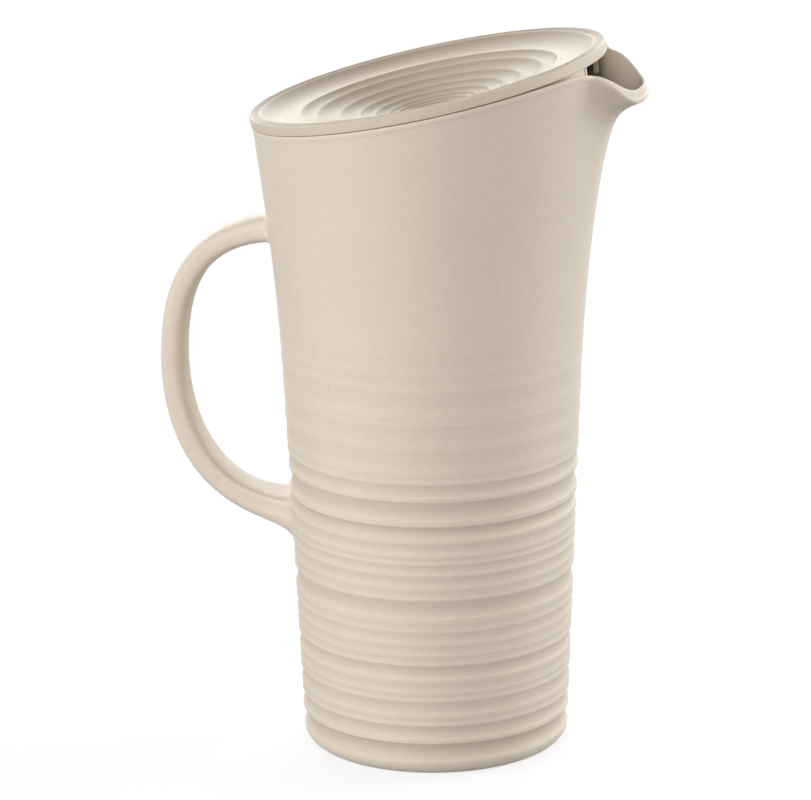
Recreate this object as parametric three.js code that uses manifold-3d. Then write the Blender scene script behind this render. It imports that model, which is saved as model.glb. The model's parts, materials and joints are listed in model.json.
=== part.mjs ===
// Lidded carafe: a tall flared jug with ribs round its lower half, a looped handle, a pouring lip,
// and a dished round lid that sits on the sloping mouth, turns in it and lifts off.
// Millimetres, +Z up, origin at the centre of the base's underside, pouring lip towards +X.
import * as THREE from "three";
import { mergeVertices } from "three/addons/utils/BufferGeometryUtils.js";
import Module from "manifold-3d";

const wasm = await Module();
wasm.setup();

const radians = THREE.MathUtils.degToRad;

// Gap kept between two pieces that touch on the real carafe.
const clearance = 0.3;

// Mouth: a plane that slopes up from the handle to the lip, and the lid that covers it.
const lidHeight = 275.5;
const lidRadius = 72.3;
const lidOffset = 0.8;
const mouthTilt = radians(11.9);

// Jug wall: a narrow cone that opens towards the mouth until the lid's edge stands just inside it.
const footRadius = 53.7;
const footRounding = 6.9;
const coneAngle = radians(2.35);
const flareLength = 85.5;
const flareBlend = 16;
const lidSetback = 0.44;
const wallThickness = 2.6;
const floorThickness = 3.2;
const floorRounding = 6;

// Ribs: sharp crests with hollow bands between them, from the foot band upwards.
const footBandHeight = 14.4;
const footDepthShare = 0.213;
const ribbedHeight = 109.2;
const ribBandShares = [
  7.5, 3, 7.4, 3, 4.8, 7.4, 3.7, 4.6, 5.8, 3.7, 9.8, 4.2, 5.8, 5, 2.8, 6, 7.2, 10.3, 7.2,
];
const ribDepthShares = [
  0.11, 0.05, 0.085, 0.055, 0.05, 0.11, 0.045, 0.045, 0.065, 0.045, 0.1, 0.045, 0.07, 0.07, 0.06,
  0.065, 0.16, 0.11, 0.085,
];
const hollowPlaceShare = 0.6;

// Faint rings over the ribs.
const faintHeight = 53.2;
const faintBandShares = [3.4, 10.5, 10.3, 2.7, 11, 6.7, 8.6];
const faintDepthShares = [0.03, 0.022, 0.02, 0.02, 0.018, 0.015, 0.012];

// Pouring lip: a rounded bulge of the wall whose edge dips below the mouth's plane.
const lipReach = 87.5;
const lipDrop = 16.2;
const lipHalfAngle = radians(21);
const lipRootShare = 0.045;
const lipCurl = 3.6;
const lipBeadHeight = 1.8;
const lipEdgeHeight = 3.6;
const lipEdgeInset = 1.2;
const dipHalfAngle = radians(17.2);
const dipPower = 5.4;
const throatHalfAngle = radians(18);
const throatPower = 4;
const throatDepth = 16;
const throatShare = 0.42;

// Handle: a loop in the XZ plane, drawn as two curves that meet at the grip.
const gripReach = 105.9;
const gripHeight = 156.3;
const upperRootDrop = 62.5;
const lowerRootHeight = 94.5;
const upperRootPull = 41;
const lowerRootPull = 41.5;
const gripPullUp = 33.4;
const gripPullDown = 29.9;
const handleThickness = 9.8;
const handleWidth = 19;
const upperRootThickness = 11.4;
const lowerRootThickness = 19;
const lowerRootWidth = 27;
const rootBlend = 8;
const upperSectionPower = 2.5;
const lowerSectionPower = 4;

// Lid cover: a rim with a shallow hollow in its top, round a dished cone that is stepped by rings.
const lidRimHeight = 4.1;
const lidEdgeRounding = 0.6;
const lidRimWidth = 4.6;
const rimHollowDepth = 1;
const dishAngle = radians(13.2);
const dishThickness = 2.6;
const dishRingShares = [15.5, 6.5, 9, 7.5, 6, 5, 3, 3, 3, 3];
const dishDepthShares = [0.11, 0.2, 0.2, 0.2, 0.2, 0.2, 0.2, 0.2, 0.2, 0.2];
const dishCentreRadius = 6;
const dishHollowPlaceShare = 0.5;

// Seal: a thin flat ring in a recess under the cover's rim.
const sealThickness = 0.8;
const sealWidth = 1.6;
const sealRecess = 1.1;

// Skirt: the ring under the cover that reaches into the mouth, open where the jug pours.
const skirtPlay = 0.84;
const skirtThickness = 2;
const skirtDepth = 10.8;
const skirtDraft = 1.2;
const pourOpeningWidth = 29.5;
const postWidth = 1.4;
const slitWidth = 1;
const slitDepth = 7;

// Mesh steps.
const jugColumns = 64;
const columnCrowdingShare = 0.55;
const lidColumns = 64;
const cutterColumns = 128;
const footSteps = 3;
const upperWallRows = 11;
const upperRowPower = 0.45;
const innerRows = 7;
const rimPasses = 4;
const armSteps = 15;
const sectionPoints = 16;
const dimRatio = 1e-4;

// Plastic and silicone, as three.js materials.
const clayPlastic = new THREE.MeshStandardMaterial({ color: 0xc9bdae, roughness: 0.62, metalness: 0 });
const lidPlastic = new THREE.MeshStandardMaterial({ color: 0xcdc1b1, roughness: 0.6, metalness: 0 });
const sealSilicone = new THREE.MeshStandardMaterial({ color: 0x8f8172, roughness: 0.75, metalness: 0 });

// How far the recess's roof, the skirt's top and the jug's rim lie under the lid's top plane.
const recessDrop = lidRimHeight - sealRecess;
const skirtDrop = recessDrop + clearance;
const rimDrop = skirtDrop + sealThickness + clearance;

// The jug's mouth fits the lid, and the skirt fits the mouth where it is narrowest.
const mouthRadius = lidRadius + lidSetback;
const flareSlope = (mouthRadius - coneRadius(lidHeight)) / flareReach(lidHeight);
const skirtRadius = Math.min(...[-1, 0, 1].map(skirtFit));
const sealInner = skirtRadius + clearance;
const sealOuter = sealInner + sealWidth;
const upperRootHeight = lidHeight - upperRootDrop;

// Point at a radius, azimuth and height.
function polar(radius, azimuth, height) {
  return new THREE.Vector3(radius * Math.cos(azimuth), radius * Math.sin(azimuth), height);
}

// Skins a stack of equal rings of points into one closed body, with a fan to a point at each end.
function skin(rings, startPoint, endPoint) {
  const points = [startPoint, ...rings.flat(), endPoint];
  const count = rings[0].length;
  const faces = [];
  const at = (ring, column) => 1 + ring * count + (column % count);
  for (let column = 0; column < count; column++) {
    faces.push(0, at(0, column + 1), at(0, column));
    faces.push(points.length - 1, at(rings.length - 1, column), at(rings.length - 1, column + 1));
    for (let ring = 0; ring + 1 < rings.length; ring++) {
      faces.push(at(ring, column), at(ring, column + 1), at(ring + 1, column + 1));
      faces.push(at(ring, column), at(ring + 1, column + 1), at(ring + 1, column));
    }
  }
  return new THREE.BufferGeometry().setFromPoints(points).setIndex(faces);
}

// Turns a profile of [radius, height] pairs round the Z axis.
function turned(profile, columns) {
  const points = profile.map(([radius, height]) => new THREE.Vector2(radius, height));
  return new THREE.LatheGeometry(points, columns).rotateX(Math.PI / 2);
}

// A closed geometry as a solid that can be cut.
function solidOf(geometry) {
  const bare = geometry.clone();
  bare.deleteAttribute("normal");
  bare.deleteAttribute("uv");
  const merged = mergeVertices(bare, dimRatio);
  const vertProperties = new Float32Array(merged.attributes.position.array);
  const triVerts = new Uint32Array(merged.index.array);
  return new wasm.Manifold(new wasm.Mesh({ numProp: 3, vertProperties, triVerts }));
}

// A cut solid as a geometry again.
function geometryOf(solid) {
  const { vertProperties, triVerts } = solid.getMesh();
  const position = new THREE.BufferAttribute(new Float32Array(vertProperties), 3);
  return new THREE.BufferGeometry()
    .setAttribute("position", position)
    .setIndex(new THREE.BufferAttribute(new Uint32Array(triVerts), 1));
}

function meshOf(name, geometry, material) {
  const mesh = new THREE.Mesh(geometry, material);
  mesh.name = name;
  return mesh;
}

// Radius of the narrow cone at a height.
function coneRadius(height) {
  return footRadius + height * Math.tan(coneAngle);
}

// How far a height lies into the flare, with a soft start.
function flareReach(height) {
  return flareBlend * Math.log1p(Math.exp((height - lidHeight + flareLength) / flareBlend));
}

// Radius of the plain wall at a height, over the crests of the ribs.
function wallRadius(height) {
  return coneRadius(height) + flareReach(height) * flareSlope;
}

// Radius of the skirt that just fits the mouth at one place: -1 is the back, 0 a side, 1 the front.
function skirtFit(place) {
  const rise = place * Math.sin(mouthTilt);
  const height = lidHeight + lidRadius * rise - rimDrop * Math.cos(mouthTilt);
  const shift = lidOffset - skirtDrop * Math.sin(mouthTilt);
  return (wallRadius(height) - wallThickness - skirtPlay + place * shift) / Math.sqrt(1 - rise ** 2);
}

// How far the lip's edge has dipped at an azimuth, from 0 at the back to 1 at the tip.
function dipShape(azimuth) {
  return 1 / (1 + Math.abs(azimuth / dipHalfAngle) ** dipPower);
}

// Outline of the lip seen from above: a half ellipse with a small fillet at its root.
function lipShape(azimuth) {
  const inside = 1 - (azimuth / lipHalfAngle) ** 2;
  return Math.sqrt((inside + Math.hypot(inside, lipRootShare)) / 2);
}

// Height of the wall's outer edge at an azimuth.
function rimHeight(azimuth) {
  let height = lidHeight;
  for (let pass = 0; pass < rimPasses; pass++) {
    const along = wallRadius(height) * Math.cos(azimuth) + lidOffset;
    height = lidHeight + along * Math.tan(mouthTilt) - rimDrop / Math.cos(mouthTilt);
  }
  return height - lipDrop * dipShape(azimuth);
}

const lipBulge = lipReach - wallRadius(rimHeight(0));

// Radius of the jug's outer face without its ribs.
function outerRadius(azimuth, height) {
  const below = Math.max(rimHeight(azimuth) - height - lipBeadHeight, 0);
  const curl = (1 - throatShare) * lipShape(azimuth) * Math.exp(-below / lipCurl);
  const aside = Math.abs(azimuth / throatHalfAngle) ** throatPower;
  const throat = throatShare * Math.exp(-aside - below / throatDepth);
  return wallRadius(height) + lipBulge * (curl + throat);
}

// Point of the jug's inner face behind a point of the outer one: a thickness along the normal.
function innerPoint(azimuth, height, thickness) {
  const step = wallThickness * dimRatio;
  const turn = step / footRadius;
  const here = polar(outerRadius(azimuth, height), azimuth, height);
  const beside = polar(outerRadius(azimuth + turn, height), azimuth + turn, height).sub(here);
  const above = polar(outerRadius(azimuth, height + step), azimuth, height + step).sub(here);
  return here.addScaledVector(beside.cross(above).normalize(), -thickness);
}

// Inner corner of the rim: level with the mouth's plane, but above the outer edge along the lip.
function rimCorner(azimuth) {
  const height = rimHeight(azimuth);
  const dip = dipShape(azimuth);
  const corner = innerPoint(azimuth, height, THREE.MathUtils.lerp(wallThickness, lipEdgeInset, dip));
  const along = corner.x - outerRadius(azimuth, height) * Math.cos(azimuth);
  corner.z = height + THREE.MathUtils.lerp(along * Math.tan(mouthTilt), lipEdgeHeight, dip);
  return corner;
}

// Azimuths of the jug's columns, closer together round the lip.
function columnAzimuths() {
  return Array.from({ length: jugColumns }, (_, index) => {
    const even = (2 * Math.PI * index) / jugColumns - Math.PI;
    return even - columnCrowdingShare * Math.sin(even);
  });
}

// Rows of [height, depth] over a stack of hollow bands: a crest row and a hollow row for each band,
// with the hollow nearer to the upper crest.
function bandRows(start, height, shares, depthShares) {
  const whole = shares.reduce((sum, share) => sum + share);
  const rows = [];
  let bottom = start;
  shares.forEach((share, index) => {
    const band = (height * share) / whole;
    rows.push([bottom, 0], [bottom + band * hollowPlaceShare, band * depthShares[index]]);
    bottom += band;
  });
  return rows;
}

function jugGeometry() {
  const azimuths = columnAzimuths();
  const levelRing = (radius, height) => azimuths.map((azimuth) => polar(radius, azimuth, height));
  const rings = [];

  // Underside and the rounded foot.
  const footEdge = wallRadius(footRounding);
  for (let step = 0; step <= footSteps; step++) {
    const turn = (step * Math.PI) / (2 * footSteps);
    const radius = footEdge - footRounding * (1 - Math.sin(turn));
    rings.push(levelRing(radius, footRounding * (1 - Math.cos(turn))));
  }

  // The foot's hollow, the ribs and the faint rings.
  const faintStart = footBandHeight + ribbedHeight;
  const footDepth = (footBandHeight - footRounding) * footDepthShare;
  const rows = [
    [(footRounding + footBandHeight) / 2, footDepth],
    ...bandRows(footBandHeight, ribbedHeight, ribBandShares, ribDepthShares),
    ...bandRows(faintStart, faintHeight, faintBandShares, faintDepthShares),
  ];
  for (const [height, depth] of rows) rings.push(levelRing(wallRadius(height) - depth, height));

  // Plain upper wall, whose rows turn from level to the slope of the rim.
  const plainStart = faintStart + faintHeight;
  for (let row = 0; row <= upperWallRows; row++) {
    const share = (row / upperWallRows) ** upperRowPower;
    rings.push(
      azimuths.map((azimuth) => {
        const height = THREE.MathUtils.lerp(plainStart, rimHeight(azimuth), share);
        return polar(outerRadius(azimuth, height), azimuth, height);
      }),
    );
  }

  // Inner face from the rim down to the floor.
  rings.push(azimuths.map(rimCorner));
  for (let row = 1; row <= innerRows; row++) {
    const share = (1 - row / innerRows) ** upperRowPower;
    rings.push(
      azimuths.map((azimuth) => {
        const height = THREE.MathUtils.lerp(plainStart, rimHeight(azimuth), share);
        return innerPoint(azimuth, height, wallThickness);
      }),
    );
  }
  const floorEdge = wallRadius(floorThickness + floorRounding) - wallThickness;
  for (let step = footSteps; step >= 0; step--) {
    const turn = (step * Math.PI) / (2 * footSteps);
    const radius = floorEdge - floorRounding * (1 - Math.sin(turn));
    rings.push(levelRing(radius, floorThickness + floorRounding * (1 - Math.cos(turn))));
  }
  return skin(rings, polar(0, 0, 0), polar(0, 0, floorThickness));
}

// The handle's centre line: from the wall at the top, out to the grip and back to the wall.
function handleCurves() {
  const upperRoot = new THREE.Vector3(-footRadius, 0, upperRootHeight);
  const grip = new THREE.Vector3(-gripReach, 0, gripHeight);
  const lowerRoot = new THREE.Vector3(-footRadius + wallThickness, 0, lowerRootHeight);
  const moved = (point, x, z) => point.clone().add(new THREE.Vector3(x, 0, z));
  const fromUpperRoot = moved(upperRoot, -upperRootPull, 0);
  const intoGrip = moved(grip, 0, gripPullUp);
  const outOfGrip = moved(grip, 0, -gripPullDown);
  const intoLowerRoot = moved(lowerRoot, -lowerRootPull, 0);
  return [
    new THREE.CubicBezierCurve3(upperRoot, fromUpperRoot, intoGrip, grip),
    new THREE.CubicBezierCurve3(grip, outOfGrip, intoLowerRoot, lowerRoot),
  ];
}

// One ring of the handle's section: a rounded oblong, thick in the loop's plane and wide across it.
function handleRing(centre, tangent, thickness, width, power) {
  const across = new THREE.Vector3(0, 1, 0);
  const outward = new THREE.Vector3().crossVectors(across, tangent).normalize();
  const eased = (value) => Math.sign(value) * Math.abs(value) ** (2 / power);
  return Array.from({ length: sectionPoints }, (_, index) => {
    const turn = (2 * Math.PI * index) / sectionPoints;
    return centre
      .clone()
      .addScaledVector(outward, (eased(Math.cos(turn)) * thickness) / 2)
      .addScaledVector(across, (eased(Math.sin(turn)) * width) / 2);
  });
}

function handleGeometry() {
  const [upper, lower] = handleCurves();
  const rings = [];
  [upper, lower].forEach((curve, arm) => {
    for (let step = arm; step <= armSteps; step++) {
      const share = step / armSteps;
      const centre = curve.getPointAt(share);
      const fromWall = Math.hypot(centre.x, centre.y) - wallRadius(centre.z);
      const blend = Math.exp(-Math.max(fromWall, 0) / rootBlend);
      const rootThickness = arm ? lowerRootThickness : upperRootThickness;
      const rootWidth = arm ? lowerRootWidth : handleWidth;
      const sharpness = arm ? Math.sin((share * Math.PI) / 2) : 0;
      rings.push(
        handleRing(
          centre,
          curve.getTangentAt(share),
          THREE.MathUtils.lerp(handleThickness, rootThickness, blend),
          THREE.MathUtils.lerp(handleWidth, rootWidth, blend),
          THREE.MathUtils.lerp(upperSectionPower, lowerSectionPower, sharpness),
        ),
      );
    }
  });
  return skin(rings, upper.getPointAt(0), lower.getPointAt(1));
}

// The space that the jug's wall takes, with the clearance round it, over the handle's height.
function wallCutter() {
  const bottom = lowerRootHeight - lowerRootThickness * 2;
  const top = upperRootHeight + upperRootThickness * 2;
  const steps = upperWallRows * 2;
  const profile = [[0, bottom]];
  for (let step = 0; step <= steps; step++) {
    const height = THREE.MathUtils.lerp(bottom, top, step / steps);
    profile.push([wallRadius(height) + clearance, height]);
  }
  profile.push([0, top]);
  return turned(profile, cutterColumns);
}

// Height of the dish's cone at a radius, in the lid's own frame where the rim's top is 0.
function dishHeight(radius) {
  return (radius - (lidRadius - lidRimWidth)) * Math.tan(dishAngle);
}

// Profile of the cover: the underside with the seal's recess, the rim and the stepped dish.
function coverProfile() {
  const dishRadius = lidRadius - lidRimWidth;
  const whole = dishRingShares.reduce((sum, share) => sum + share);
  const rings = [];
  let edge = dishRadius;
  dishRingShares.forEach((share, index) => {
    const band = ((dishRadius - dishCentreRadius) * share) / whole;
    const hollow = edge - band * dishHollowPlaceShare;
    rings.push([edge, dishHeight(edge)], [hollow, dishHeight(hollow) - band * dishDepthShares[index]]);
    edge -= band;
  });
  const bottom = dishHeight(edge) - dishThickness;
  const coneEnd = dishRadius - (recessDrop - dishThickness) / Math.tan(dishAngle);
  const flatRadius = Math.min(coneEnd, skirtRadius - skirtThickness - clearance);
  const rimTop = lidRadius - lidEdgeRounding;
  return [
    [0, bottom],
    [edge, bottom],
    [flatRadius, -recessDrop],
    [sealOuter + clearance, -recessDrop],
    [sealOuter + clearance, -lidRimHeight],
    [lidRadius, -lidRimHeight],
    [lidRadius, -lidEdgeRounding],
    [rimTop, 0],
    [(rimTop + dishRadius) / 2, -rimHollowDepth],
    ...rings,
    [edge, dishHeight(edge)],
    [0, dishHeight(edge)],
  ];
}

// Section of a ring, given by its radii and heights, with its foot drawn in by a draft.
function ringProfile(inner, outer, bottom, top, draft) {
  return [
    [inner - draft, bottom],
    [outer - draft, bottom],
    [outer, top],
    [inner, top],
    [inner - draft, bottom],
  ];
}

// A box cutter through the skirt's wall, between two places across the lip.
function skirtCutter(from, to, top, depth) {
  const reach = skirtThickness * 4;
  const box = new THREE.BoxGeometry(reach * 2, to - from, depth);
  return solidOf(box.translate(skirtRadius, (from + to) / 2, top - depth / 2));
}

function skirtGeometry() {
  const top = -skirtDrop;
  const underSeal = top - sealThickness;
  const ring = ringProfile(skirtRadius - skirtThickness, skirtRadius, top - skirtDepth, top, skirtDraft);
  let solid = solidOf(turned(ring, lidColumns));
  const half = pourOpeningWidth / 2;
  solid = solid.subtract(skirtCutter(-half, half, underSeal, skirtDepth));
  for (const side of [-1, 1]) {
    const near = side * (half + postWidth);
    const far = side * (half + postWidth + slitWidth);
    solid = solid.subtract(skirtCutter(Math.min(near, far), Math.max(near, far), underSeal, slitDepth));
  }
  return geometryOf(solid);
}

const sealProfile = ringProfile(sealInner, sealOuter, -skirtDrop - sealThickness, -skirtDrop, 0);

const handle = geometryOf(solidOf(handleGeometry()).subtract(solidOf(wallCutter())));

const lid = new THREE.Group();
lid.position.set(-lidOffset, 0, lidHeight);
lid.rotation.y = -mouthTilt;
lid.add(
  meshOf("lid_cover", turned(coverProfile(), lidColumns), lidPlastic),
  meshOf("lid_skirt", skirtGeometry(), lidPlastic),
  meshOf("lid_seal", turned(sealProfile, lidColumns), sealSilicone),
);

const carafe = new THREE.Group();
carafe.add(
  meshOf("carafe_body", jugGeometry(), clayPlastic),
  meshOf("handle", handle, clayPlastic),
  lid,
);

export default carafe;
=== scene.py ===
"""Lidded carafe: the looks of a ribbed jug with a looped handle, a pouring lip and a dished lid.

Pieces are made in millimetres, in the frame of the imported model: +Z up, lip towards +X, handle
towards -X, and scaled to metres when their meshes are made.
"""

from __future__ import annotations

import json
import logging
import math
from dataclasses import dataclass
from enum import Enum
from functools import cached_property
from typing import Any, Callable, Sequence, Union

import bpy
import numpy as np
from mathutils import Matrix, Vector


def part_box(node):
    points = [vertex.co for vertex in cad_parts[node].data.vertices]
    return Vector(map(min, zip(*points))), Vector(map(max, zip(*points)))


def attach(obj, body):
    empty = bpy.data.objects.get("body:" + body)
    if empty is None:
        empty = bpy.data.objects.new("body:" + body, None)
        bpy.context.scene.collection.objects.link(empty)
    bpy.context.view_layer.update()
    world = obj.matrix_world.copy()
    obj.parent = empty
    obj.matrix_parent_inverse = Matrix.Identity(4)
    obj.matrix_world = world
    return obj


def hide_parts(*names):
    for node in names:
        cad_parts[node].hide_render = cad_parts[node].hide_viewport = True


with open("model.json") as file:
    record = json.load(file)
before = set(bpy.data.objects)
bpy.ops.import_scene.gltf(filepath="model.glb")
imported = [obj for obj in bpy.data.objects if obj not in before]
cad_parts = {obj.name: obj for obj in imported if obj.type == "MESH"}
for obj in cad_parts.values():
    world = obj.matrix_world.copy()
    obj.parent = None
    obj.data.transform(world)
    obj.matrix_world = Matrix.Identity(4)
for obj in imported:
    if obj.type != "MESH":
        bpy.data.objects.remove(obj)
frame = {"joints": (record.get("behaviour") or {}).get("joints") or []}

MM = 0.001
QUARTER_TURN, HALF_TURN, FULL_TURN = math.pi / 2, math.pi, 2 * math.pi
# The mesh layer that says how much painted shade each point takes.
PAINTED_SHADE_LAYER = "painted_shade"
# Noises: the middle of their range, their numbers of layers, and the share of each finer layer.
NOISE_MIDDLE = 0.5
PLAIN_LAYERS, FAIR_LAYERS, RICH_LAYERS = 1.0, 2.0, 3.0
EVEN_SHARE, ROUGH_SHARE = 0.5, 0.6

log = logging.getLogger("carafe")

Colour = tuple[float, float, float, float]
WHITE: Colour = (1.0, 1.0, 1.0, 1.0)


class Body(Enum):
    """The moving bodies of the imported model."""

    CARAFE = "carafe"
    SEAL = "seal"
    LID = "lid"


class Slot(Enum):
    """The material slots of the record."""

    JUG = "jug"
    LID = "lid"
    SEAL = "seal"


# Shader graph


def arithmetic(operation: str, reflected: bool = False) -> Callable[[Signal, Term], Signal]:
    """Makes an operator of Signal out of a Math node.

    Args:
        operation: The node's operation.
        reflected: True if the other term stands on the left.

    Returns:
        The operator.
    """

    def operator(self: Signal, other: Term) -> Signal:
        """One Math node on the two terms."""
        left, right = (other, self) if reflected else (self, other)
        return self.graph.add("ShaderNodeMath", {"operation": operation}, {0: left, 1: right})

    return operator


class Signal:
    """One number, colour or vector of a shader graph, which takes part in Python arithmetic."""

    __add__, __radd__ = arithmetic("ADD"), arithmetic("ADD", reflected=True)
    __sub__, __rsub__ = arithmetic("SUBTRACT"), arithmetic("SUBTRACT", reflected=True)
    __mul__, __rmul__ = arithmetic("MULTIPLY"), arithmetic("MULTIPLY", reflected=True)

    def __init__(self, graph: Graph, socket: bpy.types.NodeSocket) -> None:
        """Keeps the graph and the socket that gives the value."""
        self.graph = graph
        self.socket = socket

    def clamped(self) -> Signal:
        """The value held between 0 and 1."""
        return self.graph.add("ShaderNodeClamp", inputs={"Value": self})

    def swing(self, share: float) -> Signal:
        """How far a noise is from its middle, times a share."""
        return (self - NOISE_MIDDLE) * share


Term = Union[Signal, float, Colour, tuple[float, float, float]]


class Graph:
    """A node tree that grows by one method."""

    MIX_FACTOR, MIX_LOW, MIX_HIGH, MIX_RESULT = 0, 6, 7, 2

    def __init__(self, tree: bpy.types.NodeTree) -> None:
        """Starts from an empty tree."""
        self.tree = tree
        tree.nodes.clear()

    def add(
        self,
        kind: str,
        settings: dict[str, Any] | None = None,
        inputs: dict[str | int, Term] | None = None,
        output: str | int = 0,
    ) -> Signal | None:
        """Adds a node.

        Args:
            kind: The node's type, such as ShaderNodeMath.
            settings: The node's own properties, set first.
            inputs: A value or a link for each socket, by name or number.
            output: The socket that is wanted of it.

        Returns:
            The wanted output, or None for a node that has none.
        """
        node = self.tree.nodes.new(kind)
        for key, value in (settings or {}).items():
            setattr(node, key, value)
        for key, value in (inputs or {}).items():
            if isinstance(value, Signal):
                self.tree.links.new(value.socket, node.inputs[key])
            else:
                node.inputs[key].default_value = value
        return Signal(self, node.outputs[output]) if len(node.outputs) else None

    def noise(
        self, where: Signal, grain: float, detail: float = PLAIN_LAYERS, roughness: float = EVEN_SHARE
    ) -> Signal:
        """Soft noise round 0.5.

        Args:
            where: The coordinates, in metres.
            grain: The size of one patch, in millimetres.
            detail: The number of finer layers.
            roughness: The share of each finer layer.

        Returns:
            The noise value.
        """
        sizes = {"Vector": where, "Scale": 1 / (grain * MM), "Detail": detail, "Roughness": roughness}
        return self.add("ShaderNodeTexNoise", {"noise_dimensions": "3D"}, sizes)

    def mix(self, factor: Term, low: Term, high: Term) -> Signal:
        """A colour between two others.

        Args:
            factor: 0 gives the first colour, 1 the second.
            low: The first colour.
            high: The second colour.

        Returns:
            The mixed colour.
        """
        values = {self.MIX_FACTOR: factor, self.MIX_LOW: low, self.MIX_HIGH: high}
        return self.add("ShaderNodeMix", {"data_type": "RGBA"}, values, self.MIX_RESULT)


def linear(*channels: int) -> Colour:
    """Turns an sRGB colour into the linear one that a shader takes.

    Args:
        channels: Red, green and blue, from 0 to 255.

    Returns:
        The linear colour with full alpha.
    """
    toe, toe_slope, lift, power = 0.04045, 12.92, 0.055, 2.4
    shares = [channel / 255 for channel in channels]
    return (*(s / toe_slope if s <= toe else ((s + lift) / (1 + lift)) ** power for s in shares), 1.0)


# Finishes


@dataclass(frozen=True)
class Finish:
    """A named material; each kind of finish builds its surface."""

    name: str

    def surface(self, graph: Graph) -> Signal:
        """The shader for the material's output."""
        raise NotImplementedError

    def material(self) -> bpy.types.Material:
        """Builds the material.

        Returns:
            A material with the finish's surface.
        """
        made = bpy.data.materials.new(self.name)
        made.use_nodes = True
        graph = Graph(made.node_tree)
        graph.add("ShaderNodeOutputMaterial", inputs={"Surface": self.surface(graph)})
        return made


def skin(graph: Graph, look: dict[str | int, Term], relief: Signal, height: float) -> Signal:
    """A principled shader with a bumped normal.

    Args:
        graph: The graph that the nodes go into.
        look: The shader's inputs, apart from its normal.
        relief: The bumps.
        height: How high the bumps are, in millimetres.

    Returns:
        The shader.
    """
    normal = graph.add("ShaderNodeBump", inputs={"Height": relief, "Distance": height * MM})
    return graph.add("ShaderNodeBsdfPrincipled", inputs={**look, "Normal": normal})


@dataclass(frozen=True)
class MattePlastic(Finish):
    """Moulded matte plastic: faint clouds of tone, fine flecks, a fine grain and painted shade."""

    pale: Colour
    deep: Colour
    fleck: Colour
    # The colour of the painted shade, which each point takes by its painted shade value.
    shade: Colour
    cloud_size: float = 34.0
    cloud_share: float = 0.34
    mottle_size: float = 3.2
    mottle_share: float = 0.5
    fleck_size: float = 0.9
    fleck_level: float = 0.66
    fleck_gain: float = 9.0
    fleck_share: float = 0.5
    painted_shade_share: float = 0.55
    roughness: float = 0.58
    roughness_share: float = 0.16
    specular: float = 0.36
    grain_size: float = 0.55
    ripple_size: float = 7.0
    ripple_share: float = 1.4
    grain_height: float = 0.035

    def surface(self, graph: Graph) -> Signal:
        """Builds the shader.

        Args:
            graph: The graph that the nodes go into.

        Returns:
            A shader whose colour, roughness and normal change over the surface.
        """
        where = graph.add("ShaderNodeTexCoord", output="Object")
        clouds = graph.noise(where, self.cloud_size, RICH_LAYERS)
        mottle = graph.noise(where, self.mottle_size, RICH_LAYERS, ROUGH_SHARE)
        painted_shade = graph.add("ShaderNodeAttribute", {"attribute_name": PAINTED_SHADE_LAYER}, output="Fac")

        depth = NOISE_MIDDLE + clouds.swing(self.cloud_share) + mottle.swing(self.mottle_share)
        plain = graph.mix(depth.clamped(), self.pale, self.deep)
        # Painted shade: each point is darkened towards the shade colour by its painted shade value.
        tone = graph.mix((painted_shade * self.painted_shade_share).clamped(), plain, self.shade)
        spots = graph.noise(where, self.fleck_size)
        flecks = ((spots - self.fleck_level) * self.fleck_gain).clamped() * self.fleck_share
        look = {
            "Base Color": graph.mix(flecks, tone, self.fleck),
            "Roughness": self.roughness + mottle.swing(self.roughness_share),
            "Specular IOR Level": self.specular,
        }
        grain = graph.noise(where, self.grain_size, FAIR_LAYERS, ROUGH_SHARE)
        ripple = graph.noise(where, self.ripple_size)
        return skin(graph, look, grain + ripple * self.ripple_share, self.grain_height)


@dataclass(frozen=True)
class SoftSilicone(Finish):
    """Soft silicone: a dull skin with dust-like variation and a pebbled surface."""

    pale: Colour
    deep: Colour
    patch_size: float = 4.0
    roughness: float = 0.72
    roughness_share: float = 0.2
    specular: float = 0.3
    pebble_size: float = 0.4
    pebble_height: float = 0.02

    def surface(self, graph: Graph) -> Signal:
        """Builds the shader.

        Args:
            graph: The graph that the nodes go into.

        Returns:
            A shader whose colour, roughness and normal change over the surface.
        """
        where = graph.add("ShaderNodeTexCoord", output="Object")
        patches = graph.noise(where, self.patch_size, RICH_LAYERS)
        look = {
            "Base Color": graph.mix(patches, self.pale, self.deep),
            "Roughness": self.roughness + patches.swing(self.roughness_share),
            "Specular IOR Level": self.specular,
        }
        return skin(graph, look, graph.noise(where, self.pebble_size), self.pebble_height)


@dataclass(frozen=True)
class PaleFloor(Finish):
    """A floor that looks white to the camera and in reflections, and still takes the object's shadow."""

    name: str = "pale_floor"
    colour: Colour = (0.34, 0.34, 0.34, 1.0)
    glow: float = 0.74

    def surface(self, graph: Graph) -> Signal:
        """Builds the shader.

        Args:
            graph: The graph that the nodes go into.

        Returns:
            A diffuse shader with light of its own for camera, glossy and transmission rays.
        """
        glow = seen_directly(graph) * self.glow
        matt = graph.add("ShaderNodeBsdfDiffuse", inputs={"Color": self.colour})
        white = graph.add("ShaderNodeEmission", inputs={"Color": WHITE, "Strength": glow})
        return graph.add("ShaderNodeAddShader", inputs={0: matt, 1: white})


def seen_directly(graph: Graph) -> Signal:
    """1 for camera, glossy and transmission rays, and 0 for the rest.

    Args:
        graph: The graph that the nodes go into.

    Returns:
        The sum of the three ray flags, held to 1.
    """
    flags = [
        graph.add("ShaderNodeLightPath", output=ray)
        for ray in ("Is Camera Ray", "Is Glossy Ray", "Is Transmission Ray")
    ]
    return (flags[0] + flags[1] + flags[2]).clamped()


# Meshes


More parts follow.
